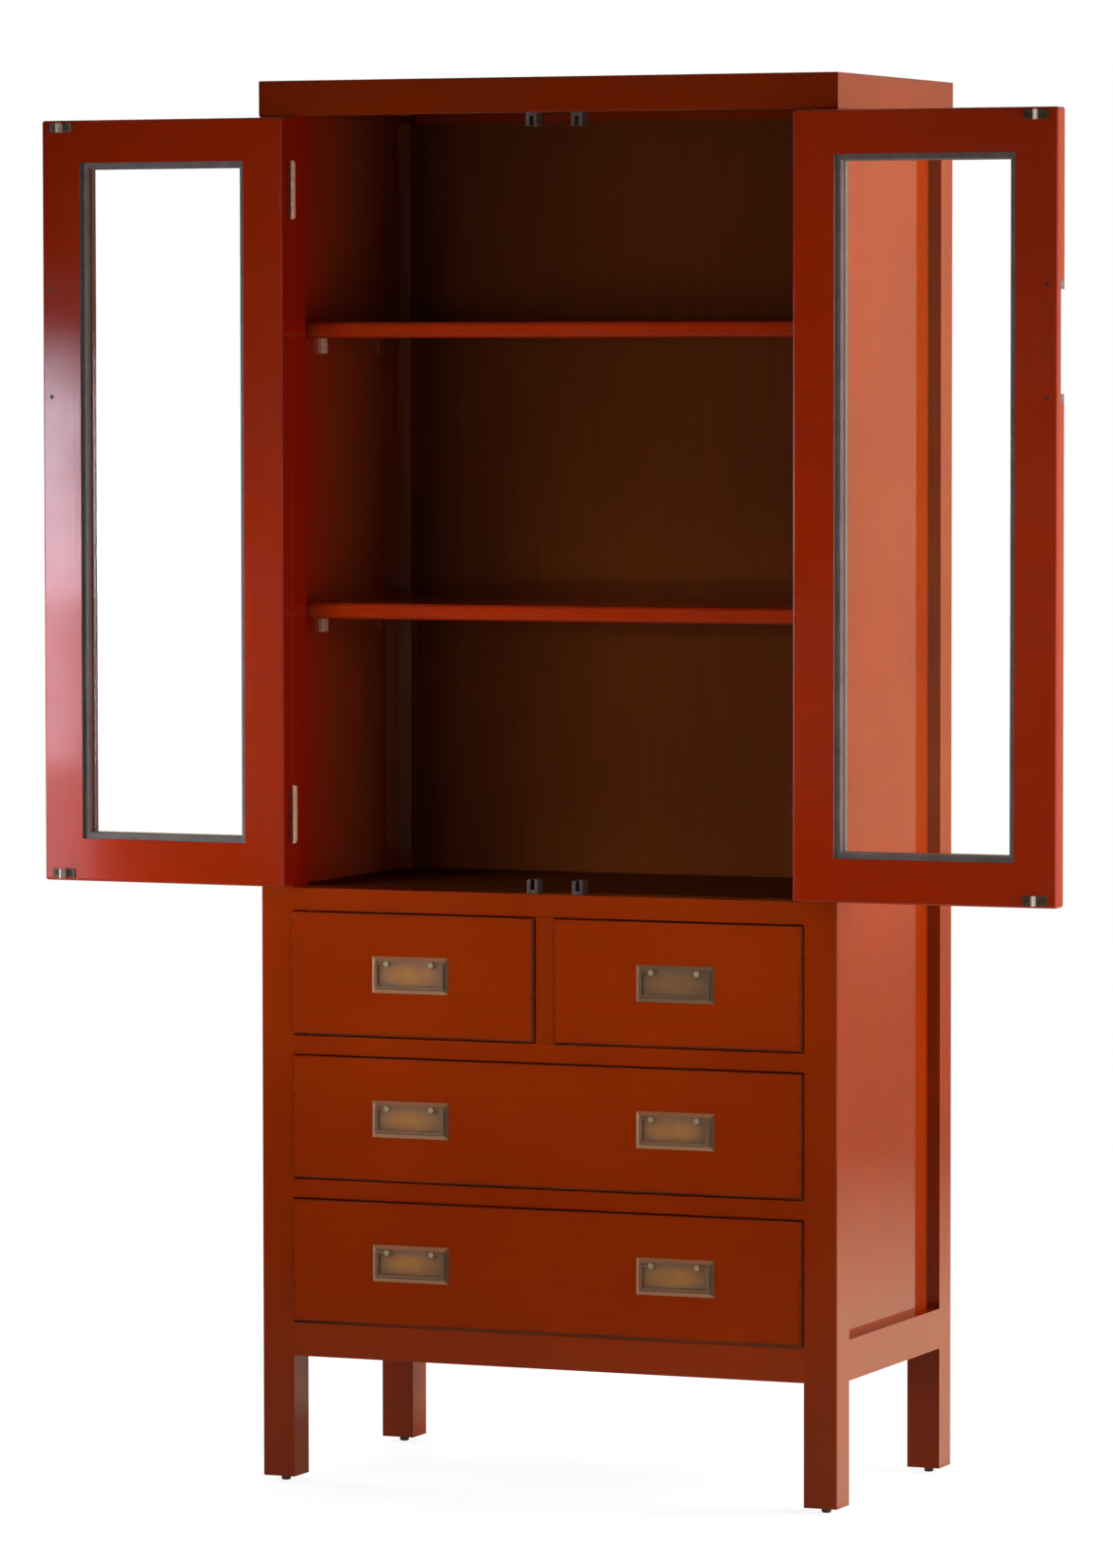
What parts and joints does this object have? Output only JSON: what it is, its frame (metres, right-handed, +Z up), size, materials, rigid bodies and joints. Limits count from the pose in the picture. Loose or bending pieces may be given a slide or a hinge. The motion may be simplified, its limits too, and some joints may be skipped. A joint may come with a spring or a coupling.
{
  "type": "display cabinet",
  "caption": "Tall lacquered wooden display cabinet with glazed doors over shelves and rows of drawers with brass bail pulls.",
  "frame": {"origin": "on the floor under the middle of the cabinet's box as it stands with its doors open", "axes": "+Z up, +X to the right as seen from the front, -Y out of the front"},
  "size_m": [1.475, 0.4966, 1.915],
  "materials": {
    "red_lacquer": "glossy red-brown lacquer",
    "inside_lacquer": "satin dark red-brown lacquer",
    "drawer_wood": "bare planed wood",
    "dark_bead": "dark satin paint",
    "glass": "clear polished",
    "antique_brass": "darkened antique brass",
    "hinge_brass": "satin brass",
    "steel": "satin",
    "glide": "matt"
  },
  "bodies": {
    "carcass": {"leg_glides": "glide", "post_front_left": "red_lacquer", "post_front_right": "red_lacquer", "post_rear_left": "red_lacquer", "post_rear_right": "red_lacquer", "top_frame": "red_lacquer", "top_panel": "red_lacquer", "sill_rail": "red_lacquer", "drawer_rails": "red_lacquer", "base_rail_front": "red_lacquer", "base_rails": "red_lacquer", "drawer_divider": "red_lacquer", "side_panel_left": "red_lacquer", "side_panel_right": "red_lacquer", "back_panel": "inside_lacquer", "display_floor": "inside_lacquer", "runners_and_cleats": "drawer_wood", "shelf_upper": "red_lacquer", "shelf_lower": "red_lacquer", "shelf_pegs": "hinge_brass", "hinge_leaves_fixed": "hinge_brass", "hinge_pins": "hinge_brass", "door_catches": "steel", "carcass_screws": "steel"},
    "left_door": {"left_door_hinge_stile": "red_lacquer", "left_door_meeting_stile": "red_lacquer", "left_door_rails": "red_lacquer", "left_door_glass": "glass", "left_door_beads": "dark_bead", "left_door_finger_pull": "steel", "left_door_hinge_leaves": "hinge_brass", "left_door_strikes": "steel", "left_door_screws": "steel"},
    "right_door": {"right_door_hinge_stile": "red_lacquer", "right_door_meeting_stile": "red_lacquer", "right_door_rails": "red_lacquer", "right_door_glass": "glass", "right_door_beads": "dark_bead", "right_door_finger_pull": "steel", "right_door_hinge_leaves": "hinge_brass", "right_door_strikes": "steel", "right_door_screws": "steel"},
    "lower_drawer": {"lower_drawer_front": "red_lacquer", "lower_drawer_box": "drawer_wood", "lower_drawer_pull_mounts": "antique_brass"},
    "lower_drawer_bail_left": {"lower_drawer_bail_left": "antique_brass"},
    "lower_drawer_bail_right": {"lower_drawer_bail_right": "antique_brass"},
    "middle_drawer": {"middle_drawer_front": "red_lacquer", "middle_drawer_box": "drawer_wood", "middle_drawer_pull_mounts": "antique_brass"},
    "middle_drawer_bail_left": {"middle_drawer_bail_left": "antique_brass"},
    "middle_drawer_bail_right": {"middle_drawer_bail_right": "antique_brass"},
    "upper_left_drawer": {"upper_left_drawer_front": "red_lacquer", "upper_left_drawer_box": "drawer_wood", "upper_left_drawer_pull_mounts": "antique_brass"},
    "upper_left_drawer_bail": {"upper_left_drawer_bail": "antique_brass"},
    "upper_right_drawer": {"upper_right_drawer_front": "red_lacquer", "upper_right_drawer_box": "drawer_wood", "upper_right_drawer_pull_mounts": "antique_brass"},
    "upper_right_drawer_bail": {"upper_right_drawer_bail": "antique_brass"}
  },
  "joints": [
    {"name": "left_door_hinge", "type": "hinge", "parent": "carcass", "child": "left_door", "pos_m": [-0.37, -0.20472, 1.3425], "axis": [0, 0, 1], "range_deg": [0, 182]},
    {"name": "right_door_hinge", "type": "hinge", "parent": "carcass", "child": "right_door", "pos_m": [0.37, -0.20472, 1.3425], "axis": [0, 0, -1], "range_deg": [0, 180.5]},
    {"name": "lower_drawer_slide", "type": "slide", "parent": "carcass", "child": "lower_drawer", "axis": [0, -1, 0], "range_m": [0, 0.3]},
    {"name": "lower_drawer_bail_left_pivot", "type": "hinge", "parent": "lower_drawer", "child": "lower_drawer_bail_left", "pos_m": [-0.1955, -0.21312, 0.324], "axis": [-1, 0, 0], "range_deg": [0, 175]},
    {"name": "lower_drawer_bail_right_pivot", "type": "hinge", "parent": "lower_drawer", "child": "lower_drawer_bail_right", "pos_m": [0.1915, -0.21312, 0.324], "axis": [-1, 0, 0], "range_deg": [0, 175]},
    {"name": "middle_drawer_slide", "type": "slide", "parent": "carcass", "child": "middle_drawer", "axis": [0, -1, 0], "range_m": [0, 0.3]},
    {"name": "middle_drawer_bail_left_pivot", "type": "hinge", "parent": "middle_drawer", "child": "middle_drawer_bail_left", "pos_m": [-0.1955, -0.21312, 0.521], "axis": [-1, 0, 0], "range_deg": [0, 175]},
    {"name": "middle_drawer_bail_right_pivot", "type": "hinge", "parent": "middle_drawer", "child": "middle_drawer_bail_right", "pos_m": [0.1915, -0.21312, 0.521], "axis": [-1, 0, 0], "range_deg": [0, 175]},
    {"name": "upper_left_drawer_slide", "type": "slide", "parent": "carcass", "child": "upper_left_drawer", "axis": [0, -1, 0], "range_m": [0, 0.3]},
    {"name": "upper_left_drawer_bail_pivot", "type": "hinge", "parent": "upper_left_drawer", "child": "upper_left_drawer_bail", "pos_m": [-0.1955, -0.21312, 0.718], "axis": [-1, 0, 0], "range_deg": [0, 175]},
    {"name": "upper_right_drawer_slide", "type": "slide", "parent": "carcass", "child": "upper_right_drawer", "axis": [0, -1, 0], "range_m": [0, 0.3]},
    {"name": "upper_right_drawer_bail_pivot", "type": "hinge", "parent": "upper_right_drawer", "child": "upper_right_drawer_bail", "pos_m": [0.1915, -0.21312, 0.718], "axis": [-1, 0, 0], "range_deg": [0, 175]}
  ]
}
